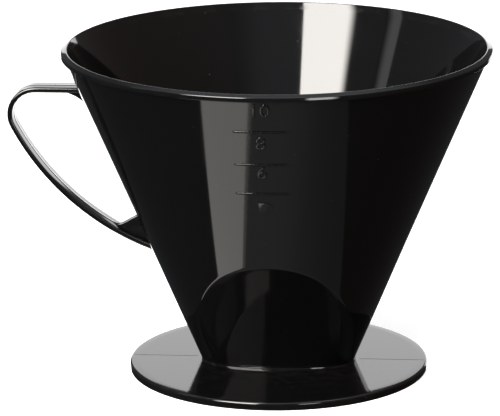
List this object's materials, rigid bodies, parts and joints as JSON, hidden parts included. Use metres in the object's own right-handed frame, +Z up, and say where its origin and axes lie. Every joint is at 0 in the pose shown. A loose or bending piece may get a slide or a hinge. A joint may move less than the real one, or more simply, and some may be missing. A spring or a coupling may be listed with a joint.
{
  "type": "pour over dripper",
  "caption": "Cone coffee dripper: round mouth, wedge-shaped foot, flat round base flange, loop handle and raised level marks.",
  "frame": {"origin": "on the cone's axis, in the plane that the base flange stands on", "axes": "+Z up along the cone's axis, handle towards -X, level marks on the -Y side"},
  "size_m": [0.1807, 0.16, 0.1235],
  "materials": {
    "body_plastic": "polished moulded black",
    "base_plastic": "polished moulded black",
    "handle_plastic": "polished moulded black",
    "mark_plastic": "polished moulded black, raised marks"
  },
  "bodies": {
    "root": {"base_disc": "base_plastic", "cup_symbol": "mark_plastic", "drip_floor": "body_plastic", "filter_cone": "body_plastic", "flow_rib_01": "body_plastic", "flow_rib_02": "body_plastic", "flow_rib_03": "body_plastic", "flow_rib_04": "body_plastic", "flow_rib_05": "body_plastic", "flow_rib_06": "body_plastic", "flow_rib_07": "body_plastic", "flow_rib_08": "body_plastic", "flow_rib_09": "body_plastic", "flow_rib_10": "body_plastic", "flow_rib_11": "body_plastic", "flow_rib_12": "body_plastic", "flow_rib_13": "body_plastic", "flow_rib_14": "body_plastic", "foot_collar": "base_plastic", "handle_strip": "handle_plastic", "level_mark_10": "mark_plastic", "level_mark_6": "mark_plastic", "level_mark_8": "mark_plastic", "lower_web": "handle_plastic", "mug_ring": "base_plastic", "numeral_10_digit_1": "mark_plastic", "numeral_10_digit_2": "mark_plastic", "numeral_6": "mark_plastic", "numeral_8": "mark_plastic", "rim_bead": "body_plastic", "upper_web": "handle_plastic"}
  },
  "joints": []
}
